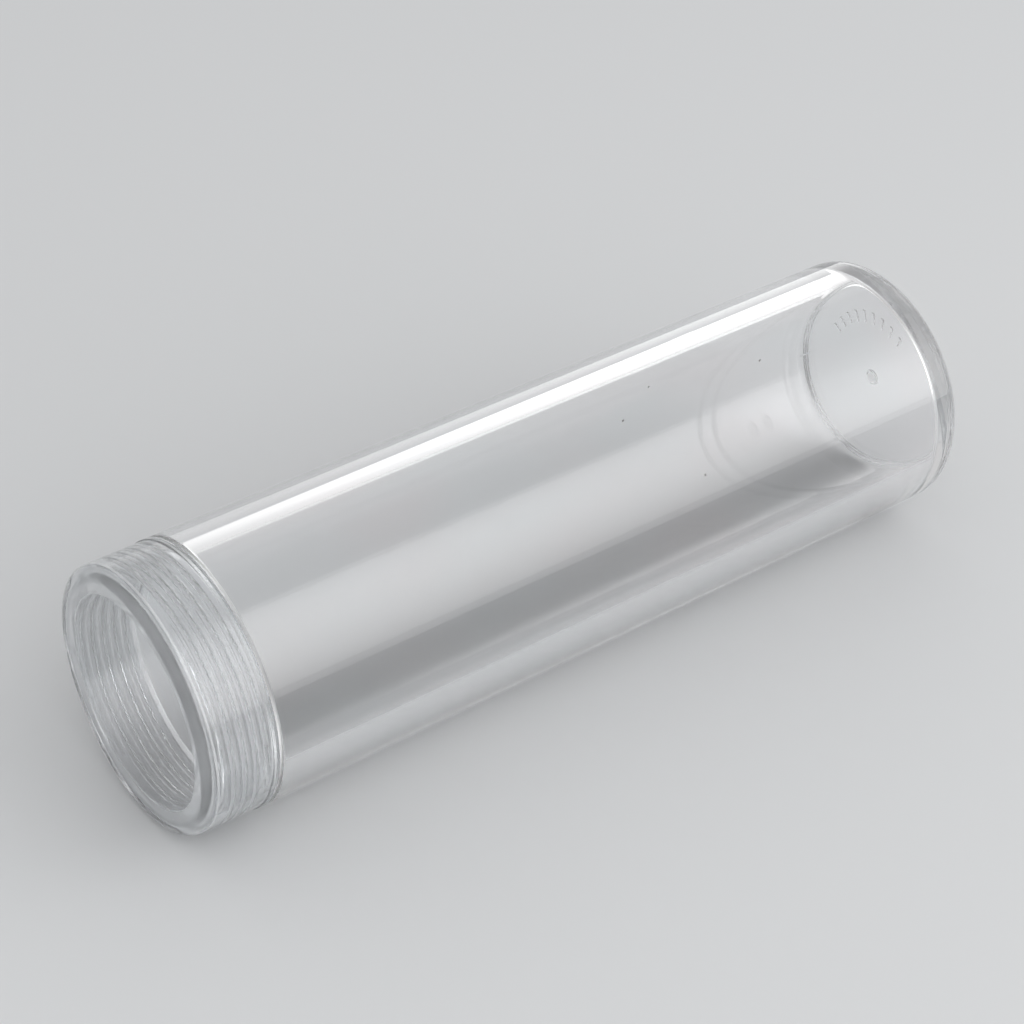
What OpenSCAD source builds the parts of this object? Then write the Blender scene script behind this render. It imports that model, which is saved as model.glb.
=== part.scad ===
// Round coin tube with a screw cap. It lies on its side along X, with the cap towards -X,
// the closed end towards +X and Z up. The origin is the middle of the line that it lies on.
// Each piece is drawn upright, standing on the closed end, and then laid down.
// All lengths are in millimetres.

/* [Tube] */
// Diameter of the bore that the coins lie in
bore_d = 19.6; // [14:0.1:45]
// Depth of the bore, from the rim of the neck down to the floor
bore_depth = 82.4; // [40:0.2:120]
// Thickness of the floor in the middle
floor_thickness = 1.2; // [0.8:0.1:3]
// Radius of the fillet between the bore and the floor
floor_fillet = 0.8; // [0.2:0.1:2]
// Radius of the rounded outer edge at the foot
foot_radius = 1.4; // [0.4:0.1:1.8]
// Width of the flat ring that the tube can stand on
foot_width = 1.1; // [0.8:0.1:3]
// How far the middle of the bottom is set in from the ring
foot_recess = 0.3; // [0.2:0.05:0.8]

/* [Neck] */
// Wall of the neck behind its thread
neck_wall = 1.2; // [0.9:0.05:2]
// Radius that rounds both edges of the rim
rim_radius = 0.3; // [0.1:0.05:0.4]
// Radius of the rounded edge of the shoulder
shoulder_radius = 0.25; // [0.1:0.05:0.5]

/* [Thread] */
// Rise of the thread in one turn
pitch = 1.1; // [1:0.05:1.5]
// Height of a thread ridge above the wall that carries it
thread_depth = 0.45; // [0.3:0.05:0.6]
// Width of a ridge where it leaves its wall
ridge_root_w = 0.6; // [0.45:0.05:0.65]
// Width of a ridge at its crest
ridge_crest_w = 0.25; // [0.15:0.05:0.3]
// Radial room between each crest and the wall that it faces
thread_clearance = 0.15; // [0.1:0.05:0.25]
// Angle over which a ridge fades out at each end
ridge_fade = 45; // [20:5:90]
// Plain stretch of the neck under the first turn, and of the skirt past its last
thread_lead = 0.85; // [0.6:0.05:1.2]

/* [Cap] */
// Height of the cap
cap_height = 7; // [6:0.1:14]
// Thickness of its flat end
end_thickness = 1.1; // [0.8:0.1:2]
// Wall of the skirt outside its thread
skirt_wall = 0.8; // [0.6:0.05:1.5]
// Radius of the rounded edge around the end
edge_radius = 1.1; // [0.4:0.1:1.3]
// Radius in the corner inside the cap
corner_fillet = 0.3; // [0.1:0.05:0.5]
// How far the lip at the open end stands out from the skirt, flush with the tube
lip_proud = 0.1; // [0.05:0.05:0.3]
// Height of that lip
lip_height = 0.6; // [0.3:0.1:1.5]
// Gap between the lip and the shoulder when the cap is home
shoulder_gap = 0.2; // [0.1:0.05:0.5]
// Diameter of the gate disc in the middle of the flat end
gate_disc_d = 4; // [2:0.5:8]
// Thickness of that disc
gate_disc_t = 0.3; // [0.2:0.05:0.5]
// Gap around the disc, which lies flush in its seat
gate_disc_gap = 0.05; // [0.03:0.01:0.1]

/* [Bottom marks] */
// Diameter of the stub that the gate leaves in the middle of the bottom
gate_d = 1.5; // [0.8:0.1:3]
// Height of that stub
gate_height = 0.2; // [0.05:0.05:0.2]
// Distance from the middle to the row of plain moulded bars
bar_ring_r = 5.8; // [4:0.1:8]
// Direction from the middle to the middle bar, counted from the side that lies on top
bar_ring_angle = 14.5; // [-180:0.5:180]
// Length of one bar, along the radius
bar_length = 1.2; // [0.6:0.1:2]
// Width of one bar
bar_width = 0.35; // [0.2:0.05:0.6]
// Height of one bar
bar_height = 0.15; // [0.05:0.05:0.2]
// Number of bars
bar_count = 9; // [3:1:15]
// Angle from one bar to the next
bar_step = 11; // [8:1:20]

/* [Hidden] */

tube_color = [0.9, 0.92, 0.94, 0.45];
cap_color = [0.82, 0.84, 0.86, 0.7];

// Radii, from the bore outwards
bore_r = bore_d / 2;
neck_r = bore_r + neck_wall;
neck_crest_r = neck_r + thread_depth;
cap_bore_r = neck_crest_r + thread_clearance;
cap_r = cap_bore_r + skirt_wall;
tube_r = cap_r + lip_proud;
recess_r = tube_r - foot_radius - foot_width;

// Heights along the axis, from the foot at the closed end towards the cap
floor_z = foot_recess + floor_thickness;
rim_z = floor_z + bore_depth;
top_z = rim_z + end_thickness;
cap_z = top_z - cap_height;
shoulder_z = cap_z - shoulder_gap;

// How far solids that join run into each other, and cuts run past what they cut
overlap = 0.1;

// The two ridges keep half a pitch apart, so that each runs in the other's groove
neck_thread_z = shoulder_z + thread_lead;
neck_thread_h = rim_z - rim_radius - ridge_root_w - neck_thread_z;
cap_thread_z = cap_z + thread_lead;
cap_thread_h = rim_z - thread_lead - cap_thread_z;
cap_thread_angle = 360 * (cap_thread_z - neck_thread_z - pitch / 2) / pitch;
steps_per_turn = 48;

$fn = 96;

// Lays an upright piece on its side: up becomes -X, and what faced +X comes on top
module laid_down() {
    translate([top_z / 2, 0, tube_r]) rotate([0, -90, 0]) children();
}

// What a rounded edge of radius r takes off a corner at the origin,
// for a shape that lies at -X and +Y of that corner
module edge_off(r) {
    difference() {
        translate([-r, -overlap]) square(r + overlap);
        translate([-r, r]) circle(r);
    }
}

// Half section from the axis out to a width, rounded at its lower and upper outer edges
module half_section(width, height, low_r, high_r) {
    difference() {
        square([width, height]);
        if (low_r > 0) translate([width, 0]) edge_off(low_r);
        if (high_r > 0) translate([width, height]) mirror([0, 1]) edge_off(high_r);
    }
}

// One corner of the ridge's section, at a step along the ridge. side is -1 below and 1 above.
// The base of the ridge is sunk into its wall, and the ends of the ridge sink into it too.
function ridge_point(wall_r, out, angle, z, fade, crest, side) =
    let (
        depth = fade * (thread_depth + overlap / 2) - overlap / 2,
        r = wall_r + out * (crest ? depth : -overlap),
        half_w = (crest ? ridge_crest_w : ridge_root_w) / 2
    )
    [r * cos(angle), r * sin(angle), z + side * half_w];

// A right-hand helical ridge of height h on a wall of radius wall_r. It stands out from
// the axis where out is 1, and in towards the axis where out is -1.
module ridge(wall_r, out, h, start_angle) {
    turns = h / pitch;
    steps = ceil(turns * steps_per_turn);
    fade_turns_share = ridge_fade / 360 / turns;
    points = [
        for (i = [0 : steps])
            let (
                share = i / steps,
                angle = start_angle + 360 * turns * share,
                z = h * share,
                fade = min(1, share / fade_turns_share, (1 - share) / fade_turns_share)
            )
            each [
                ridge_point(wall_r, out, angle, z, fade, false, -1),
                ridge_point(wall_r, out, angle, z, fade, true, -1),
                ridge_point(wall_r, out, angle, z, fade, true, 1),
                ridge_point(wall_r, out, angle, z, fade, false, 1)
            ]
    ];
    sides = [
        for (i = [0 : steps - 1], k = [0 : 3])
            let (a = 4 * i + k, b = 4 * i + (k + 1) % 4)
            each out < 0
                ? [[a, a + 4, b], [b, a + 4, b + 4]]
                : [[a, b, a + 4], [b, b + 4, a + 4]]
    ];
    last = 4 * steps;
    ends = out < 0
        ? [[0, 1, 2], [0, 2, 3], [last, last + 2, last + 1], [last, last + 3, last + 2]]
        : [[0, 2, 1], [0, 3, 2], [last, last + 1, last + 2], [last, last + 2, last + 3]];
    polyhedron(points, concat(sides, ends));
}

// Half section of the tube: the body with its foot, then the neck above the shoulder,
// less the bore and the recess under the floor
module tube_section() {
    difference() {
        union() {
            half_section(tube_r, shoulder_z, foot_radius, shoulder_radius);
            translate([0, floor_z])
                half_section(neck_r, rim_z - floor_z, 0, rim_radius);
        }
        translate([0, floor_z])
            half_section(bore_r, bore_depth + overlap, floor_fillet, 0);
        translate([bore_r, rim_z]) rotate(180) edge_off(rim_radius);
        translate([0, -overlap])
            half_section(recess_r, foot_recess + overlap, 0, 0);
    }
}

// The gate stub and the plain bars stand in the recess, clear of what the tube stands on
module bottom_marks() {
    translate([0, 0, foot_recess - gate_height])
        cylinder(d = gate_d, h = gate_height + overlap);
    for (i = [0 : bar_count - 1])
        rotate(bar_ring_angle + (i - (bar_count - 1) / 2) * bar_step)
            translate([bar_ring_r, -bar_width / 2, foot_recess - bar_height])
                cube([bar_length, bar_width, bar_height + overlap]);
}

module tube() {
    color(tube_color) laid_down() {
        rotate_extrude() tube_section();
        bottom_marks();
        translate([0, 0, neck_thread_z]) ridge(neck_r, 1, neck_thread_h, 0);
    }
}

// Half section of the cap: a round block with a lip at its open end, less the well
// and the seat of the gate disc
module cap_section() {
    difference() {
        union() {
            half_section(cap_r, cap_height, 0, edge_radius);
            half_section(tube_r, lip_height, 0, lip_proud);
        }
        translate([0, -overlap])
            half_section(cap_bore_r, cap_height - end_thickness + overlap, 0, corner_fillet);
        translate([0, cap_height - gate_disc_t])
            half_section(gate_disc_d / 2 + gate_disc_gap, gate_disc_t + overlap, 0, 0);
    }
}

module cap() {
    color(cap_color) laid_down() {
        translate([0, 0, cap_z]) rotate_extrude() cap_section();
        translate([0, 0, cap_thread_z]) ridge(cap_bore_r, -1, cap_thread_h, cap_thread_angle);
    }
}

// The disc of material under the cap's gate. It comes off with the cap and doesn't turn.
module cap_gate_disc() {
    color(cap_color) laid_down()
        translate([0, 0, top_z - gate_disc_t])
            cylinder(d = gate_disc_d, h = gate_disc_t);
}

tube();
cap();
cap_gate_disc();
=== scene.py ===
"""A clear round coin tube with a cloudy screw cap, lying on its side on a pale floor.

Both mouldings are surfaces of revolution with a helical thread ridge, worked out on grids of
(distance along the axis, angle around it). Distances along the axis count from the foot at the
closed end. Angles count from the top of the lying tube towards its back. Lengths are in metres.
"""

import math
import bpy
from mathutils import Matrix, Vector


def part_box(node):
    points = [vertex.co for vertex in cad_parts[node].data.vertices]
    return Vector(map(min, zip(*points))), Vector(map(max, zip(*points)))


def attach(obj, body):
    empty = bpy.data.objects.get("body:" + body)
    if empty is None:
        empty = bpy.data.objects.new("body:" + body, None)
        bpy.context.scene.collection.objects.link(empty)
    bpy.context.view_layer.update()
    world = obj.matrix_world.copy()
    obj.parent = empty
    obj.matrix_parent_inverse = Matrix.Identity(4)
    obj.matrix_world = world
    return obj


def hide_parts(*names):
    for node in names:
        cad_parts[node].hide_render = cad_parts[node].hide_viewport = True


bl_info = {
    "name": "Coin Tube",
    "version": (1, 0, 0),
    "blender": (4, 5, 0),
    "location": "View3D > Sidebar > Coin Tube",
    "description": "Builds a clear coin tube with a cloudy screw cap around its packed frame",
    "category": "Object",
}

from typing import NamedTuple

import bmesh
import bpy
import numpy as np
from bpy.props import FloatProperty, FloatVectorProperty, IntProperty, PointerProperty
from mathutils import Vector

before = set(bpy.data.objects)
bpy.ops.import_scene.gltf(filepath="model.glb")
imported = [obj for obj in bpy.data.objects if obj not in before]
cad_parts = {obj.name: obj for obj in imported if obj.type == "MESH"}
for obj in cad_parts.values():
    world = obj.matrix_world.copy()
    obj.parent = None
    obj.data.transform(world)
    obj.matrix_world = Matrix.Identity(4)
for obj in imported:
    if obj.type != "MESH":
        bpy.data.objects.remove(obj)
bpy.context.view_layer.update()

MM = 0.001
TURN = 2 * math.pi

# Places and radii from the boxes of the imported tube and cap
TUBE_LOW, TUBE_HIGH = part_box("tube")
CAP_LOW, CAP_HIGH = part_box("cap")
FOOT_X = TUBE_HIGH.x
AXIS_HEIGHT = (TUBE_LOW.z + TUBE_HIGH.z) / 2
TUBE_R = (TUBE_HIGH.z - TUBE_LOW.z) / 2
RIM = FOOT_X - TUBE_LOW.x
CAP_TOP = FOOT_X - CAP_LOW.x
CAP_OPEN_END = FOOT_X - CAP_HIGH.x

# Rows of the thread lattice, as distances from the middle of a ridge
RIDGE_ROWS_MM = (0.0, 0.07, 0.11, 0.14, 0.17, 0.2, 0.235, 0.268, 0.33)
# Turns that the lattice has to spare at each end, before it is clipped
SPARE_TURNS = 2
# Columns of every grid, all the way round
COLUMNS = 360
# Distance from the end of a straight stretch to its guard point, and the most that it may be as a
# share of the stretch
GUARD = 0.12 * MM
GUARD_SHARE = 1 / 3
# Distance within which the points where two bands meet become one
MERGE = 0.002 * MM

# Steps of a quarter round: the small fillets, the edges of the foot and of the cap, the edge of
# the shoulder, the rim, the fillet of the floor and the corner inside the cap
FILLET_STEPS = 4
EDGE_STEPS = 14
SHOULDER_STEPS = 6
RIM_STEPS = 7
FLOOR_STEPS = 10
CORNER_STEPS = 6

# Rows across the soft edge of a mark, and on the bottom between those edges
EDGE_ROWS = 3
GATE_TO_BARS_ROWS = 5
BAR_ROWS = 6
BARS_TO_CORNER_ROWS = 4

# The ragged outline of the gate's torn end: its swing as a share of the gate's radius, how many
# times it swings out on the way round, and the angle by which the swings are turned
RAGGED_SHARE = 0.12
RAGGED_SWINGS = 3
RAGGED_TURN = 1.0


class Pattern(NamedTuple):
    """A noise pattern: its features per metre along the tube and twice across it, the levels of
    the noise between which it sets in, its turn about the tube's axis and its finer detail."""

    per_metre: tuple
    levels: tuple = (0.0, 1.0)
    turn: float = 0.0
    detail: float = 0.0


STRESS = Pattern(per_metre=(70, 130, 130), levels=(0.4, 0.65), turn=0.5)
TUBE_SCRATCHES = Pattern(per_metre=(160, 3600, 3600), levels=(0.78, 0.81), turn=0.4)
CAP_SCRATCHES = Pattern(per_metre=(3600, 900, 900), levels=(0.76, 0.8), turn=0.9)
FLOW = Pattern(per_metre=(420, 170, 170), levels=(0.25, 0.75), detail=1.0)
GRAIN = Pattern(per_metre=(4000, 4000, 4000), levels=(0.35, 0.65), detail=2.0)

# Length of the walls' slow waves along the tube, in lengths across it
WAVE_STRETCH = 3
# Smallest speck, as a share of the largest
SMALLEST_SPECK_SHARE = 0.35
# Roughness inside a scratch of the tube and of the cap
TUBE_SCRATCH_ROUGHNESS = 0.12
CAP_SCRATCH_ROUGHNESS = 0.15

# Where the neck's haze and the shoulder's satin set in and are full, as shares of the way down
# from the crest of the thread to the wall of the neck
RUBBED_SHARES = (0.5, 0.1)
SATIN_SHARES = (0.9, 0.7)
# How far from the shoulder's face a point still belongs to it
SHOULDER_REACH = 0.15 * MM

# The torn face of the gate
GRAIN_HEIGHT = 0.015 * MM
GATE_ROUGHNESS = 0.9
GATE_TRANSMISSION = (0.6, 0.95)

# Milk of the cap's parts, as shares of its milkiness: the flat end, the skirt, the crests of the
# thread, and a painted bright ring over the neck's rim, made milkier so that it shows lighter, at
# the rim and where it has faded
END_MILK_SHARE = 0.3
SKIRT_MILK_SHARE = 0.5
CREST_MILK_SHARE = 3.0
PAINTED_RING_MILK_SHARES = (2.5, 1.2)
# Depths below the cap's outer face, in thicknesses of the flat end: where the skirt's milk sets in
# and is full, where the thread's does, and how far from the inner face a point still belongs to it
SKIRT_DEPTH_SHARES = (0.7, 1.4)
THREAD_DEPTH_SHARES = (1.0, 1.1)
INNER_FACE_SHARE = 0.1
# Where the milk of the cap's crests is full and gone, as shares of the way from crest to wall
CREST_SHARES = (0.1, 0.5)
# Half the width of the painted bright ring's sharp inner edge, and where its fading starts and
# ends, counted from the outer edge of the rim's flat
PAINTED_RING_EDGE = 0.05 * MM
PAINTED_RING_FADE = (-0.1 * MM, 0.7 * MM)
# How much the flow marks change the cap's milk and its roughness, the levels of the flow pattern
# for the roughness, and the height of the marks as a share of the height of the tube's waves
MILK_SPREAD = 0.2
ROUGHNESS_SPREAD = 0.3
ROUGHNESS_LEVELS = (0.3, 0.7)
FLOW_HEIGHT_SHARE = 0.1

# How each softbox glows: its brightest spot and how far the glow reaches from there, in shares of
# its width and height, and the share of the glow that is left past that reach
FRONT_GLOW = {"hot": (0.5, 0.28), "reach": (1.5, 0.72), "edge": 0.08}
BACK_GLOW = {"hot": (0.42, 0.0), "reach": (0.42, 0.55), "edge": 0.12}
FLOOR_ROUGHNESS = 0.9
SENSOR_WIDTH_MM = 36
CLIP_START = 10 * MM
# Light crosses many walls before it leaves the threads and the shoulder
BOUNCES = 80


def length(name, description, default_mm, low_mm=0.01, high_mm=200.0):
    """A length property, written in millimetres and kept in metres."""
    return FloatProperty(
        name=name, description=description, default=default_mm * MM,
        min=low_mm * MM, max=high_mm * MM, subtype="DISTANCE", unit="LENGTH", precision=5,
    )


def angle(name, description, default_degrees, low=-TURN, high=TURN):
    """An angle property, written in degrees and kept in radians."""
    return FloatProperty(
        name=name, description=description, default=math.radians(default_degrees),
        min=low, max=high, subtype="ANGLE",
    )


def factor(name, description, default):
    """A property for a share from 0 to 1."""
    return FloatProperty(
        name=name, description=description, default=default, min=0, max=1, subtype="FACTOR",
    )


def strength(name, description, default):
    """A property for the radiance of a light or of the world."""
    return FloatProperty(name=name, description=description, default=default, min=0)


def colour(name, description, default):
    """A colour property."""
    return FloatVectorProperty(
        name=name, description=description, default=default, min=0, max=1, size=3, subtype="COLOR",
    )


def place(name, description, default_mm):
    """A point or a size in three directions, written in millimetres and kept in metres."""
    return FloatVectorProperty(
        name=name, description=description, default=tuple(value * MM for value in default_mm),
        size=3, subtype="XYZ", unit="LENGTH", precision=5,
    )


class COINTUBE_PG_tube(bpy.types.PropertyGroup):
    """Sizes of the tube that its box doesn't give."""

    bore_d: length("Bore", "Diameter of the bore that the coins lie in", 19.6)
    floor_inside: length("Floor inside", "Distance of the inner floor from the foot", 1.5)
    floor_fillet: length("Floor fillet", "Radius between the bore and the floor", 0.8)
    foot_radius: length("Foot radius", "Radius of the outer edge at the foot", 1.4)
    foot_width: length("Foot width", "Width of the flat ring at the foot", 1.1)
    foot_recess: length("Foot recess", "How far the middle of the bottom is set in", 0.3)
    small_fillet: length("Small fillet", "Radius of the small inner corners", 0.1)
    shoulder_gap: length("Shoulder gap", "Gap between the cap's lip and the shoulder", 0.2)
    shoulder_radius: length("Shoulder radius", "Radius of the shoulder's edge", 0.25)
    neck_wall: length("Neck wall", "Wall of the neck behind its thread", 1.2)
    plain_rim: length("Plain rim", "Stretch of the neck past the last turn of its thread", 0.9)
    rim_radius: length("Rim radius", "Radius of both edges of the rim", 0.15)


class COINTUBE_PG_thread(bpy.types.PropertyGroup):
    """Sizes of the two ridges, which share one pitch."""

    pitch: length("Pitch", "Rise of the thread in one turn", 1.1)
    depth: length("Depth", "Height of a ridge above its wall", 0.45)
    wall_w: length("Width at the wall", "Width of a ridge where it leaves its wall", 0.536)
    crest_w: length("Width at the crest", "Width of a ridge at its crest", 0.25)
    clearance: length("Clearance", "Radial room between a crest and the wall it faces", 0.15)
    lead: length("Lead", "Plain stretch before the first turn", 0.85)
    fade: angle("Fade", "Angle over which a ridge fades out at each end", 45, low=0.1)


class COINTUBE_PG_cap(bpy.types.PropertyGroup):
    """Sizes of the cap that its box doesn't give."""

    end_thickness: length("End", "Thickness of the flat end", 1.1)
    rim_gap: length("Rim gap", "Hairline between the flat end and the rim of the neck", 0.03)
    skirt_r: length("Skirt radius", "Radius of the skirt above the lip", 12.4)
    edge_radius: length("Edge radius", "Radius of the edge around the flat end", 1.1)
    corner_fillet: length("Corner fillet", "Radius in the corner inside", 0.3)
    lip_height: length("Lip height", "Height of the lip at the open end", 0.6)
    lip_edge: length("Lip edge", "Radius of the lip's lower edges", 0.06)


class COINTUBE_PG_marks(bpy.types.PropertyGroup):
    """The gate stub and the row of plain moulded bars under the floor."""

    gate_d: length("Gate", "Diameter of the gate stub", 1.5)
    gate_height: length("Gate height", "Height of the gate stub", 0.2)
    bar_ring_r: length("Bar ring", "Distance from the middle to the bars", 5.8)
    bar_length: length("Bar length", "Length of one bar along the radius", 1.2)
    bar_width: length("Bar width", "Width of one bar", 0.35)
    bar_height: length("Bar height", "Height of one bar", 0.15)
    edge: length("Edge", "Width of the soft edge around each mark", 0.12)
    bar_count: IntProperty(name="Bars", description="Number of bars", default=9, min=0, max=30)
    bar_middle: angle("Middle bar", "Direction of the middle bar, from the top", 14.5)
    bar_step: angle("Bar step", "Angle from one bar to the next", 11)


class COINTUBE_PG_looks(bpy.types.PropertyGroup):
    """Colours and finishes."""

    clear: colour("Clear plastic", "Tint of the tube", (0.975, 0.983, 0.988))
    clear_warm: colour("Warmer tint", "Tint of the tube under stress", (0.985, 0.977, 0.982))
    clear_ior: FloatProperty(name="Tube IOR", description="Index of polystyrene", default=1.59)
    cloudy: colour("Cloudy plastic", "Tint of the cap", (0.9, 0.915, 0.93))
    cloudy_ior: FloatProperty(name="Cap IOR", description="Index of polypropylene", default=1.49)
    milk: factor("Milkiness", "Share of light that the cap scatters, before its parts differ", 0.2)
    cap_roughness: factor("Cap roughness", "Roughness of the cap's faces", 0.012)
    rubbed: factor("Rubbed crests", "Share of light that the crests of the neck scatter", 0.4)
    satin: factor("Satin", "Roughness of the shoulder's face", 0.4)
    dust: colour("Dust", "Colour of a speck in the tube", (0.3, 0.29, 0.28))
    frost: colour("Frost", "Colour of the torn gate", (0.98, 0.985, 0.99))
    wave: length("Wave", "Length of the slow waves in the tube's walls, across the tube", 14.0)
    wave_height: length("Wave height", "Height of those waves", 0.006, low_mm=0.0001)
    speck: length("Speck", "Radius of the largest speck", 0.16)
    speck_pitch: length("Speck spacing", "Spacing of the places where a speck may lie", 2.5)
    speck_share: factor("Speck share", "Share of those places that hold a speck", 0.05)


class COINTUBE_PG_stage(bpy.types.PropertyGroup):
    """The floor, the lights and the camera."""

    floor_colour: colour("Floor", "Colour of the floor", (0.7, 0.71, 0.72))
    floor_side: length("Floor side", "Side of the square floor", 8000.0, high_mm=50000.0)
    world_strength: strength("World", "Strength of the plain world", 0.6)
    front_strength: strength("Front", "Radiance of the front softbox", 1.7)
    front_centre: place("Front place", "Centre of the front softbox", (300, -453, 408))
    front_size: place("Front size", "Width and height of the front softbox", (1500, 1050, 0))
    back_strength: strength("Back", "Radiance of the back softbox", 1.4)
    back_centre: place("Back place", "Centre of the back softbox", (450, 600, 300))
    back_size: place("Back size", "Width and height of the back softbox", (1200, 600, 0))
    lens: FloatProperty(name="Lens", description="Focal length", default=91.86, unit="CAMERA")
    camera: place("Camera", "Place of the camera", (-117.593, -154.856, 154.592))
    looks_at: place("Looks at", "Point in the middle of the picture", (-2.348, 0, 15.227))


def smooth(share):
    """Smoothstep of a share clipped to 0..1: s * s * (3 - 2 * s)."""
    s = np.clip(share, 0, 1)
    return s * s * (3 - 2 * s)


def arc(z, r, radius, start, end, steps):
    """Round stretch of a section: centre plus radius times (cos, sin) of angles from start to end,
    in degrees from the direction of the axis towards the outside."""
    t = np.radians(np.linspace(start, end, steps + 1))
    return np.column_stack([z + radius * np.cos(t), r + radius * np.sin(t)])


def run(start, end):
    """Straight stretch of a section, with a guard point near each end, so that the shading of a
    rounded edge beside it doesn't reach along the stretch."""
    start, end = np.array(start, float), np.array(end, float)
    span = np.linalg.norm(end - start)
    share = min(GUARD / span, GUARD_SHARE)
    return start + np.outer([0, share, 1 - share, 1], end - start)


def angles():
    """Angles of the grid's columns, the last on top of the first."""
    return np.linspace(0, TURN, COLUMNS + 1)


def spun(section):
    """Surface of revolution: each (z, r) of the section is the same at every angle."""
    section = np.asarray(section)
    shape = (len(section), COLUMNS + 1)
    return (
        np.broadcast_to(section[:, :1], shape).copy(),
        np.broadcast_to(section[:, 1:], shape).copy(),
    )


def ridge_height(z, phi, start, start_phi, rise, thread):
    """Height of a helical ridge above its wall: the middle of the nearest turn is at
    start + pitch * (n + (phi - start_phi) / turn), the flanks are smooth steps of the distance from
    it, and the height fades to nothing over the fade angle at both ends of the rise."""
    turns = (phi - start_phi) / TURN
    nearest = np.round((z - start) / thread.pitch - turns)
    middle = start + thread.pitch * (nearest + turns)
    along = middle - start
    fade_rise = thread.pitch * thread.fade / TURN
    fade = smooth(np.minimum(along, rise - along) / fade_rise)
    flank = (thread.wall_w - thread.crest_w) / 2
    return thread.depth * fade * smooth((thread.wall_w / 2 - np.abs(z - middle)) / flank)


def threaded(low, high, wall_r, out, start, start_phi, rise, thread):
    """Threaded stretch of a wall from low to high. Its rows climb one pitch in a turn, so that
    they run along the ridge, and are clipped to low and high, where they join plain rows. The
    radius is the wall's plus the ridge's height outwards (out is 1) or inwards (out is -1)."""
    rows = np.array(RIDGE_ROWS_MM) * MM
    rows = np.concatenate([-rows[:0:-1], rows, [thread.pitch / 2]])
    phi = angles()[None, :]
    first = math.floor((low - start) / thread.pitch) - SPARE_TURNS
    count = math.ceil((high - low) / thread.pitch) + 2 * SPARE_TURNS
    middles = start + thread.pitch * (first + np.arange(count))
    climb = thread.pitch * (phi - start_phi) / TURN
    z = np.clip((middles[:, None] + rows[None, :]).reshape(-1, 1) + climb, low, high)
    if out < 0:
        z = z[::-1]
    return z, wall_r + out * ridge_height(z, phi, start, start_phi, rise, thread)


def moulding(name, bands):
    """One closed mesh from bands of (z, r) grids that meet row to row. A grid point goes to
    x = foot - z, y = r * sin(phi), height = axis + r * cos(phi)."""
    phi = angles()
    points, faces, first = [], [], 0
    for z, r in bands:
        grid = np.stack([FOOT_X - z, r * np.sin(phi), AXIS_HEIGHT + r * np.cos(phi)], axis=-1)
        points.append(grid.reshape(-1, 3))
        i, j = np.meshgrid(np.arange(len(z) - 1), np.arange(COLUMNS), indexing="ij")
        corner = (first + i * (COLUMNS + 1) + j).ravel()
        above = corner + COLUMNS + 1
        faces.append(np.column_stack([corner, corner + 1, above + 1, above]))
        first += z.size
    points, faces = np.concatenate(points), np.concatenate(faces)
    mesh = bpy.data.meshes.new(name)
    mesh.vertices.add(len(points))
    mesh.vertices.foreach_set("co", points.ravel())
    mesh.loops.add(faces.size)
    mesh.loops.foreach_set("vertex_index", faces.ravel())
    mesh.polygons.add(len(faces))
    mesh.polygons.foreach_set("loop_start", np.arange(0, faces.size, faces.shape[1]))
    mesh.update(calc_edges=True)
    work = bmesh.new()
    work.from_mesh(mesh)
    bmesh.ops.remove_doubles(work, verts=work.verts, dist=MERGE)
    bmesh.ops.recalc_face_normals(work, faces=work.faces)
    work.to_mesh(mesh)
    work.free()
    mesh.polygons.foreach_set("use_smooth", np.ones(len(mesh.polygons), bool))
    mesh.update()
    piece = bpy.data.objects.new(name, mesh)
    bpy.context.scene.collection.objects.link(piece)
    return piece


def marks_height(r, phi, marks):
    """Height of the gate stub and of the bars over the recessed bottom: smooth steps of the
    distance inside each mark's outline."""
    gate = marks.gate_height * smooth((marks.gate_d / 2 - r) / marks.edge)
    last = (marks.bar_count - 1) / 2
    nearest = np.clip(np.round((phi - marks.bar_middle) / marks.bar_step), -last, last)
    across = np.abs(r * np.sin(phi - marks.bar_middle - nearest * marks.bar_step))
    inside = np.minimum(
        np.minimum(r - marks.bar_ring_r, marks.bar_ring_r + marks.bar_length - r),
        marks.bar_width / 2 - across,
    )
    bars = marks.bar_height * smooth(inside / marks.edge)
    return np.maximum(gate, np.where(np.cos(phi - marks.bar_middle) > 0, bars, 0))


def bottom_band(tube, marks):
    """The recessed middle of the bottom with its marks: rings from the axis out to its corner,
    close together where a mark has an edge, and lifted by the height of the marks."""
    gate_r = marks.gate_d / 2
    bars_r, edge = marks.bar_ring_r, marks.edge
    bars_end = bars_r + marks.bar_length
    corner_r = TUBE_R - tube.foot_radius - tube.foot_width - tube.small_fillet
    fine = edge / EDGE_ROWS
    radii = np.concatenate([
        [0, gate_r / 2],
        np.arange(gate_r - edge, gate_r + fine, fine),
        np.linspace(gate_r + 2 * edge, bars_r - edge, GATE_TO_BARS_ROWS),
        np.arange(bars_r, bars_r + edge, fine),
        np.linspace(bars_r + edge, bars_end - edge, BAR_ROWS),
        np.arange(bars_end - edge + fine, bars_end + fine, fine),
        np.linspace(bars_end + edge, corner_r, BARS_TO_CORNER_ROWS),
    ])
    z, r = spun(np.column_stack([np.full(len(radii), tube.foot_recess), radii]))
    phi = (angles()[None, :] + math.pi) % TURN - math.pi
    return z - marks_height(r, phi, marks), r


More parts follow.
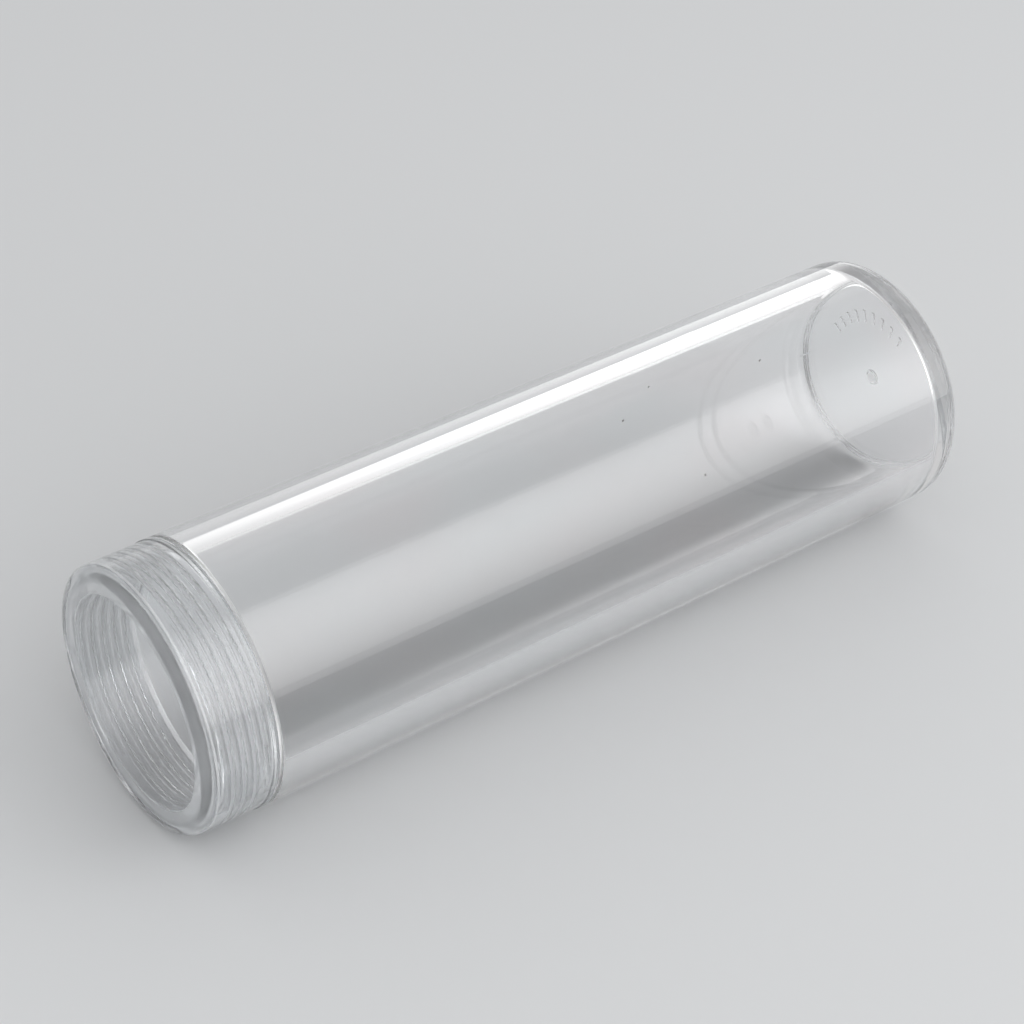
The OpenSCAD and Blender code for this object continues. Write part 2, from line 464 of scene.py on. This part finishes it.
def torn_faces(mesh, tube, marks):
    """1 for each face of the gate's torn end and 0 for the rest. The torn end reaches out to
    radius * (1 + share * sin(swings * phi + turn)), so its outline is ragged."""
    centres = np.empty(3 * len(mesh.polygons))
    mesh.polygons.foreach_get("center", centres)
    x, y, height = centres.reshape(-1, 3).T
    height = height - AXIS_HEIGHT
    swing = np.sin(RAGGED_SWINGS * np.arctan2(y, height) + RAGGED_TURN)
    reach = marks.gate_d / 2 * (1 + RAGGED_SHARE * swing)
    outside = x > FOOT_X - tube.foot_recess - marks.edge
    return (outside & (np.hypot(y, height) < reach)).astype(np.int32)


def shared_sizes(tube, thread):
    """What both mouldings are built from: the radius of the neck's wall, the place of the
    shoulder and the place where the neck's thread starts."""
    shoulder = CAP_OPEN_END - tube.shoulder_gap
    return tube.bore_d / 2 + tube.neck_wall, shoulder, shoulder + thread.lead


def tube_bands(tube, thread, marks):
    """The tube's surface in four bands: the bottom from the axis to its corner, the foot, body and
    shoulder, the threaded neck, and the rim, bore and floor back to the axis."""
    neck_r, shoulder, start = shared_sizes(tube, thread)
    bore_r = tube.bore_d / 2
    recess_r = TUBE_R - tube.foot_radius - tube.foot_width
    fillet, foot, edge = tube.small_fillet, tube.foot_radius, tube.shoulder_radius
    outside = np.concatenate([
        arc(tube.foot_recess - fillet, recess_r - fillet, fillet, 0, 90, FILLET_STEPS),
        arc(fillet, recess_r + fillet, fillet, 270, 180, FILLET_STEPS),
        run((0, recess_r + fillet), (0, TUBE_R - foot)),
        arc(foot, TUBE_R - foot, foot, 180, 90, EDGE_STEPS),
        run((foot, TUBE_R), (shoulder - edge, TUBE_R)),
        arc(shoulder - edge, TUBE_R - edge, edge, 90, 0, SHOULDER_STEPS),
        run((shoulder, TUBE_R - edge), (shoulder, neck_r + fillet)),
        arc(shoulder + fillet, neck_r + fillet, fillet, 180, 270, FILLET_STEPS),
    ])
    rounding, corner = tube.rim_radius, tube.floor_fillet
    rim_start = RIM - rounding
    bore_end = tube.floor_inside + corner
    inside = np.concatenate([
        arc(rim_start, neck_r - rounding, rounding, 90, 0, RIM_STEPS),
        arc(rim_start, bore_r + rounding, rounding, 0, -90, RIM_STEPS),
        run((rim_start, bore_r), (bore_end, bore_r)),
        arc(bore_end, bore_r - corner, corner, 90, 180, FLOOR_STEPS),
        run((tube.floor_inside, bore_r - corner), (tube.floor_inside, 0)),
    ])
    rise = RIM - tube.plain_rim - start
    neck = threaded(shoulder + fillet, rim_start, neck_r, 1, start, 0, rise, thread)
    return [bottom_band(tube, marks), spun(outside), neck, spun(inside)]


def cap_bands(tube, thread, cap):
    """The cap's surface in three bands: the flat end, skirt and lip, the threaded inside of the
    skirt, and the flat end's inner face. The two ridges keep half a pitch apart, so that each
    runs in the other's groove."""
    neck_r, _, neck_start = shared_sizes(tube, thread)
    inner_r = neck_r + thread.depth + thread.clearance
    under = RIM + cap.rim_gap
    lip_top = CAP_OPEN_END + cap.lip_height
    lip_round = TUBE_R - cap.skirt_r
    edge, corner = cap.edge_radius, cap.corner_fillet
    lip_low = CAP_OPEN_END + cap.lip_edge
    outside = np.concatenate([
        run((CAP_TOP, 0), (CAP_TOP, cap.skirt_r - edge)),
        arc(CAP_TOP - edge, cap.skirt_r - edge, edge, 0, 90, EDGE_STEPS),
        run((CAP_TOP - edge, cap.skirt_r), (lip_top, cap.skirt_r)),
        arc(lip_top - lip_round, cap.skirt_r, lip_round, 0, 90, FILLET_STEPS),
        run((lip_top - lip_round, TUBE_R), (lip_low, TUBE_R)),
        arc(lip_low, TUBE_R - cap.lip_edge, cap.lip_edge, 90, 180, FILLET_STEPS),
        arc(lip_low, inner_r + cap.lip_edge, cap.lip_edge, 180, 270, FILLET_STEPS),
    ])
    inside = np.concatenate([
        arc(under - corner, inner_r - corner, corner, 90, 0, CORNER_STEPS),
        run((under, inner_r - corner), (under, 0)),
    ])
    start = CAP_OPEN_END + thread.lead
    rise = RIM - thread.lead - start
    start_phi = TURN * (start - neck_start - thread.pitch / 2) / thread.pitch
    skirt = threaded(lip_low, under - corner, inner_r, -1, start, start_phi, rise, thread)
    return [spun(outside), skirt, spun(inside)]


def feed(tree, node, inputs):
    """Gives a node its inputs: a number or colour is set on its socket, and a socket of another
    node is linked to it."""
    for key, value in inputs.items():
        if isinstance(value, bpy.types.NodeSocket):
            tree.links.new(value, node.inputs[key])
        else:
            node.inputs[key].default_value = value


def add(tree, kind, inputs=(), **settings):
    """A new shader node with its settings and inputs."""
    node = tree.nodes.new("ShaderNode" + kind)
    for name, value in settings.items():
        setattr(node, name, value)
    feed(tree, node, dict(inputs))
    return node


def calc(tree, operation, *values):
    """Arithmetic on numbers or sockets."""
    return add(tree, "Math", dict(enumerate(values)), operation=operation).outputs["Value"]


def vector_calc(tree, operation, *values):
    """Arithmetic on vectors or sockets."""
    return add(tree, "VectorMath", dict(enumerate(values)), operation=operation)


def ramp(tree, value, low, high, start=0.0, end=1.0):
    """Smooth step of a value from low to high, as a number from start to end."""
    inputs = {"Value": value, "From Min": low, "From Max": high, "To Min": start, "To Max": end}
    return add(tree, "MapRange", inputs, interpolation_type="SMOOTHSTEP").outputs["Result"]


def mixed(tree, share, first, second):
    """The first colour where the share is 0 and the second where it is 1."""
    colours = {"Factor": share, "A": first, "B": second}
    return add(tree, "Mix", colours, data_type="RGBA").outputs["Result"]


def bumped(tree, height, distance):
    """Normal of a surface that rises by the distance where the height is 1."""
    inputs = {"Height": height, "Distance": distance, "Strength": 1.0}
    return add(tree, "Bump", inputs).outputs["Normal"]


def noise(tree, coordinates, pattern):
    """Smooth noise from 0 to 1, stretched and turned as the pattern says."""
    turned = {"Rotation": (pattern.turn, 0, 0), "Scale": pattern.per_metre}
    mapped = add(tree, "Mapping", {"Vector": coordinates, **turned}).outputs["Vector"]
    inputs = {"Vector": mapped, "Scale": 1.0, "Detail": pattern.detail}
    return add(tree, "TexNoise", inputs).outputs["Fac"]


def mask(tree, coordinates, pattern):
    """1 where the noise is above the pattern's levels and 0 below them. A pattern that is fine
    across and long along, with high levels, gives hairline scratches."""
    return ramp(tree, noise(tree, coordinates, pattern), *pattern.levels)


def spread(tree, level, levels, middle, share):
    """A number that runs from (1 - share) to (1 + share) times its middle as the level rises."""
    return ramp(tree, level, *levels, (1 - share) * middle, (1 + share) * middle)


def specks(tree, coordinates, looks):
    """Mask of the specks: small balls round some of the points of a cell pattern. The cell's own
    random colour says whether it holds one, and how large it is."""
    cells = add(tree, "TexVoronoi", {"Vector": coordinates, "Scale": 1 / looks.speck_pitch})
    chance = add(tree, "SeparateColor", {"Color": cells.outputs["Color"]})
    size = ramp(tree, chance.outputs["Green"], 0, 1, SMALLEST_SPECK_SHARE, 1.0)
    limit = calc(tree, "MULTIPLY", size, looks.speck / looks.speck_pitch)
    inside = calc(tree, "LESS_THAN", cells.outputs["Distance"], limit)
    chosen = calc(tree, "LESS_THAN", chance.outputs["Red"], looks.speck_share)
    return calc(tree, "MULTIPLY", inside, chosen)


def cylindrical(tree, coordinates):
    """Place along the tube and distance from its axis."""
    x = add(tree, "SeparateXYZ", {"Vector": coordinates}).outputs["X"]
    away = vector_calc(tree, "SUBTRACT", coordinates, (0, 0, AXIS_HEIGHT))
    flat = vector_calc(tree, "MULTIPLY", away.outputs["Vector"], (0, 1, 1))
    return x, vector_calc(tree, "LENGTH", flat.outputs["Vector"]).outputs["Value"]


def between(crest_r, wall_r, shares):
    """Radii at shares of the way from a ridge's crest to its wall."""
    return [crest_r + share * (wall_r - crest_r) for share in shares]


def new_material(name, values):
    """A material with one Principled shader. Its plain values stay on the shader's own sockets."""
    material = bpy.data.materials.new(name)
    material.use_nodes = True
    tree = material.node_tree
    tree.nodes.clear()
    shader = add(tree, "BsdfPrincipled", values)
    add(tree, "OutputMaterial", {"Surface": shader.outputs["BSDF"]})
    coordinates = add(tree, "TexCoord").outputs["Object"]
    return material, tree, shader, coordinates


def clear_plastic(looks, crest_r, wall_r, shoulder_x):
    """Crystal-clear moulded polystyrene: slow waves in the walls, a faint change of tint where
    the moulding is under stress, hairline scratches, a few specks, a haze on the crests of the
    thread, which the cap's thread has rubbed, and a satin face on the shoulder."""
    values = {"IOR": looks.clear_ior}
    material, tree, shader, coordinates = new_material("clear_polystyrene", values)
    across = 1 / looks.wave
    waves = noise(tree, coordinates, Pattern((across / WAVE_STRETCH, across, across)))
    stress = mask(tree, coordinates, STRESS)
    tint = mixed(tree, stress, (*looks.clear, 1), (*looks.clear_warm, 1))
    dust = specks(tree, coordinates, looks)

    x, radius = cylindrical(tree, coordinates)
    on_neck = calc(tree, "LESS_THAN", x, shoulder_x - SHOULDER_REACH)
    haze = ramp(tree, radius, *between(crest_r, wall_r, RUBBED_SHARES), 0, looks.rubbed)
    solid = calc(tree, "MAXIMUM", calc(tree, "MULTIPLY", on_neck, haze), dust)
    on_shoulder = calc(tree, "COMPARE", x, shoulder_x, SHOULDER_REACH)
    dull = ramp(tree, radius, *between(crest_r, wall_r, SATIN_SHARES), 0, looks.satin)
    satin = calc(tree, "MULTIPLY", on_shoulder, dull)
    hair = calc(tree, "MULTIPLY", mask(tree, coordinates, TUBE_SCRATCHES), TUBE_SCRATCH_ROUGHNESS)
    feed(tree, shader, {
        "Base Color": mixed(tree, dust, tint, (*looks.dust, 1)),
        "Roughness": calc(tree, "MAXIMUM", satin, hair),
        "Transmission Weight": calc(tree, "SUBTRACT", 1.0, solid),
        "Normal": bumped(tree, waves, looks.wave_height),
    })
    return material


def frosted_break(looks):
    """The torn face of the gate stub: white, rough and granular. It lets most of the light through,
    widely scattered."""
    values = {
        "IOR": looks.clear_ior, "Base Color": (*looks.frost, 1), "Roughness": GATE_ROUGHNESS,
    }
    material, tree, shader, coordinates = new_material("frosted_gate", values)
    grain = noise(tree, coordinates, GRAIN)
    feed(tree, shader, {
        "Transmission Weight": ramp(tree, grain, *GRAIN.levels, *GATE_TRANSMISSION),
        "Normal": bumped(tree, grain, GRAIN_HEIGHT),
    })
    return material


def milk_share(tree, depth, radius, end_thickness, rim_flat, crest_r, wall_r):
    """Milk of each part of the cap, as a share of its milkiness. The depth counts from the outer
    face. The flat end's share grows to the skirt's, and the crests of the thread add theirs, and
    so does a painted bright ring on the inner face, over the flat of the neck's rim, made milkier
    so that it shows lighter."""
    rim_low, rim_high = rim_flat
    skirt_low, skirt_high = (share * end_thickness for share in SKIRT_DEPTH_SHARES)
    skirt = ramp(tree, depth, skirt_low, skirt_high, END_MILK_SHARE, SKIRT_MILK_SHARE)
    thread_low, thread_high = (share * end_thickness for share in THREAD_DEPTH_SHARES)
    past_end = ramp(tree, depth, thread_low, thread_high)
    crest = ramp(tree, radius, *between(crest_r, wall_r, CREST_SHARES), CREST_MILK_SHARE, 0.0)
    # The painted bright ring: the inner face over the flat of the neck's rim gets extra milk, so
    # that it shows lighter there.
    on_face = calc(tree, "COMPARE", depth, end_thickness, INNER_FACE_SHARE * end_thickness)
    past_bore = ramp(tree, radius, rim_low - PAINTED_RING_EDGE, rim_low + PAINTED_RING_EDGE)
    fade_low, fade_high = (rim_high + step for step in PAINTED_RING_FADE)
    fading = ramp(tree, radius, fade_low, fade_high, *PAINTED_RING_MILK_SHARES)
    ring = calc(tree, "MULTIPLY", calc(tree, "MULTIPLY", past_bore, fading), on_face)
    ridge = calc(tree, "MULTIPLY", past_end, crest)
    return calc(tree, "ADD", calc(tree, "ADD", skirt, ridge), ring)


def cloudy_plastic(looks, end_thickness, rim_flat, crest_r, wall_r):
    """Natural polypropylene: milkier in the skirt, most at the crests of its thread, and with a
    painted bright ring on the flat end over the rim of the neck, made milkier so that it shows
    lighter, with flow marks, hairline scratches and specks."""
    values = {"IOR": looks.cloudy_ior, "Base Color": (*looks.cloudy, 1)}
    material, tree, shader, coordinates = new_material("cloudy_polypropylene", values)
    x, radius = cylindrical(tree, coordinates)
    depth = calc(tree, "SUBTRACT", x, CAP_LOW.x)
    share = milk_share(tree, depth, radius, end_thickness, rim_flat, crest_r, wall_r)
    flow = noise(tree, coordinates, FLOW)
    milk = calc(tree, "MULTIPLY", share, spread(tree, flow, FLOW.levels, looks.milk, MILK_SPREAD))
    solid = calc(tree, "MAXIMUM", milk, specks(tree, coordinates, looks))
    faces = spread(tree, flow, ROUGHNESS_LEVELS, looks.cap_roughness, ROUGHNESS_SPREAD)
    hair = calc(tree, "MULTIPLY", mask(tree, coordinates, CAP_SCRATCHES), CAP_SCRATCH_ROUGHNESS)
    feed(tree, shader, {
        "Roughness": calc(tree, "ADD", faces, hair),
        "Transmission Weight": calc(tree, "SUBTRACT", 1.0, solid),
        "Normal": bumped(tree, flow, FLOW_HEIGHT_SHARE * looks.wave_height),
    })
    return material


def pale_floor(tint):
    """A plain matt floor without gloss."""
    material = bpy.data.materials.new("pale_floor")
    material.use_nodes = True
    tree = material.node_tree
    feed(tree, tree.nodes["Principled BSDF"], {
        "Base Color": (*tint, 1), "Roughness": FLOOR_ROUGHNESS, "Specular IOR Level": 0.0,
    })
    return material


class COINTUBE_OT_tube(bpy.types.Operator):
    """Builds the clear tube: foot, body, shoulder, threaded neck, rim, bore and floor."""

    bl_idname = "cointube.tube"
    bl_label = "Tube"

    def execute(self, context):
        scene = context.scene
        tube, thread, marks = scene.coin_tube, scene.coin_thread, scene.coin_marks
        piece = moulding("tube_body", tube_bands(tube, thread, marks))
        neck_r, shoulder, _ = shared_sizes(tube, thread)
        plastic = clear_plastic(scene.coin_looks, neck_r + thread.depth, neck_r, FOOT_X - shoulder)
        piece.data.materials.append(plastic)
        piece.data.materials.append(frosted_break(scene.coin_looks))
        piece.data.polygons.foreach_set("material_index", torn_faces(piece.data, tube, marks))
        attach(piece, "tube")
        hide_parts("tube")
        return {"FINISHED"}


class COINTUBE_OT_cap(bpy.types.Operator):
    """Builds the cloudy screw cap as the one moulding that it is."""

    bl_idname = "cointube.cap"
    bl_label = "Screw cap"

    def execute(self, context):
        scene = context.scene
        tube, thread, cap = scene.coin_tube, scene.coin_thread, scene.coin_cap
        piece = moulding("screw_cap", cap_bands(tube, thread, cap))
        neck_r, _, _ = shared_sizes(tube, thread)
        # Radii of the neck's rim flat, over which the cap gets its painted bright ring
        rim_flat = (tube.bore_d / 2 + tube.rim_radius, neck_r - tube.rim_radius)
        crest_r = neck_r + thread.clearance
        piece.data.materials.append(cloudy_plastic(
            scene.coin_looks, cap.end_thickness, rim_flat, crest_r, crest_r + thread.depth))
        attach(piece, "cap")
        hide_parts("cap", "cap_gate_disc")
        return {"FINISHED"}


def facing(place_from, place_to):
    """Rotation of a lamp or camera that faces from one place to another."""
    return (Vector(place_to) - Vector(place_from)).to_track_quat("-Z", "Y").to_euler()


def softbox(name, centre, size, aim, radiance, hot, reach, edge):
    """A rectangular soft light that faces a point. Its radiance is highest at the hot spot and
    falls as a smooth step of the distance from there, in reaches, to the share named edge."""
    width, height, _ = size
    lamp = bpy.data.lights.new(name, "AREA")
    lamp.shape = "RECTANGLE"
    lamp.size, lamp.size_y = width, height
    lamp.energy = radiance * math.pi * width * height
    lamp.use_nodes = True
    tree = lamp.node_tree
    spot = add(tree, "NewGeometry").outputs["Parametric"]
    away = vector_calc(tree, "SUBTRACT", spot, (*hot, 0))
    shares = (1 / reach[0], 1 / reach[1], 0)
    reaches = vector_calc(tree, "MULTIPLY", away.outputs["Vector"], shares)
    distance = vector_calc(tree, "LENGTH", reaches.outputs["Vector"]).outputs["Value"]
    glow = ramp(tree, distance, 0, 1, 1, edge)
    tree.links.new(glow, tree.nodes["Emission"].inputs["Strength"])
    light = bpy.data.objects.new(name, lamp)
    light.location = centre
    light.rotation_euler = facing(centre, aim)
    light.visible_camera = False
    bpy.context.scene.collection.objects.link(light)


class COINTUBE_OT_stage(bpy.types.Operator):
    """Builds the pale floor, the two softboxes, the world and the camera."""

    bl_idname = "cointube.stage"
    bl_label = "Stage"

    def execute(self, context):
        scene = context.scene
        stage = scene.coin_stage
        half = stage.floor_side / 2
        corners = [(-half, -half, 0), (half, -half, 0), (half, half, 0), (-half, half, 0)]
        mesh = bpy.data.meshes.new("floor")
        mesh.from_pydata(corners, [], [(0, 1, 2, 3)])
        mesh.materials.append(pale_floor(stage.floor_colour))
        floor = bpy.data.objects.new("floor", mesh)
        scene.collection.objects.link(floor)

        x, _, _ = stage.front_centre
        softbox("front_softbox", stage.front_centre, stage.front_size, (x, 0, 0),
                stage.front_strength, **FRONT_GLOW)
        x, _, height = stage.back_centre
        softbox("back_softbox", stage.back_centre, stage.back_size, (x, 0, height),
                stage.back_strength, **BACK_GLOW)

        world = bpy.data.worlds.new("studio")
        world.use_nodes = True
        background = world.node_tree.nodes["Background"]
        background.inputs["Color"].default_value = (1, 1, 1, 1)
        background.inputs["Strength"].default_value = stage.world_strength
        scene.world = world

        lens = bpy.data.cameras.new("camera")
        lens.sensor_width = SENSOR_WIDTH_MM
        lens.lens = stage.lens
        lens.clip_start = CLIP_START
        camera = bpy.data.objects.new("camera", lens)
        camera.location = stage.camera
        camera.rotation_euler = facing(stage.camera, stage.looks_at)
        scene.collection.objects.link(camera)
        scene.camera = camera
        scene.view_settings.view_transform = "Standard"
        scene.cycles.max_bounces = BOUNCES
        scene.cycles.transmission_bounces = BOUNCES
        scene.cycles.glossy_bounces = BOUNCES
        return {"FINISHED"}


class COINTUBE_PT_panel(bpy.types.Panel):
    """Lists the operators and the sizes."""

    bl_idname = "COINTUBE_PT_panel"
    bl_label = "Coin Tube"
    bl_space_type = "VIEW_3D"
    bl_region_type = "UI"
    bl_category = "Coin Tube"

    def draw(self, context):
        for operator in ("cointube.stage", "cointube.tube", "cointube.cap"):
            self.layout.operator(operator)
        for name in GROUPS:
            group = getattr(context.scene, name)
            box = self.layout.box()
            for size in group.__annotations__:
                box.prop(group, size)


GROUPS = {
    "coin_tube": COINTUBE_PG_tube,
    "coin_thread": COINTUBE_PG_thread,
    "coin_cap": COINTUBE_PG_cap,
    "coin_marks": COINTUBE_PG_marks,
    "coin_looks": COINTUBE_PG_looks,
    "coin_stage": COINTUBE_PG_stage,
}
CLASSES = (COINTUBE_OT_tube, COINTUBE_OT_cap, COINTUBE_OT_stage, COINTUBE_PT_panel)


def register():
    """Registers the classes and gives the scene its groups of sizes."""
    for name, group in GROUPS.items():
        bpy.utils.register_class(group)
        setattr(bpy.types.Scene, name, PointerProperty(type=group))
    for cls in CLASSES:
        bpy.utils.register_class(cls)


def unregister():
    """Takes away what register added, in reverse order."""
    for cls in reversed(CLASSES):
        bpy.utils.unregister_class(cls)
    for name, group in reversed(GROUPS.items()):
        delattr(bpy.types.Scene, name)
        bpy.utils.unregister_class(group)


def main():
    """Registers the add-on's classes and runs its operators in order."""
    register()
    bpy.ops.cointube.stage()
    bpy.ops.cointube.tube()
    bpy.ops.cointube.cap()


if __name__ == "__main__":
    main()
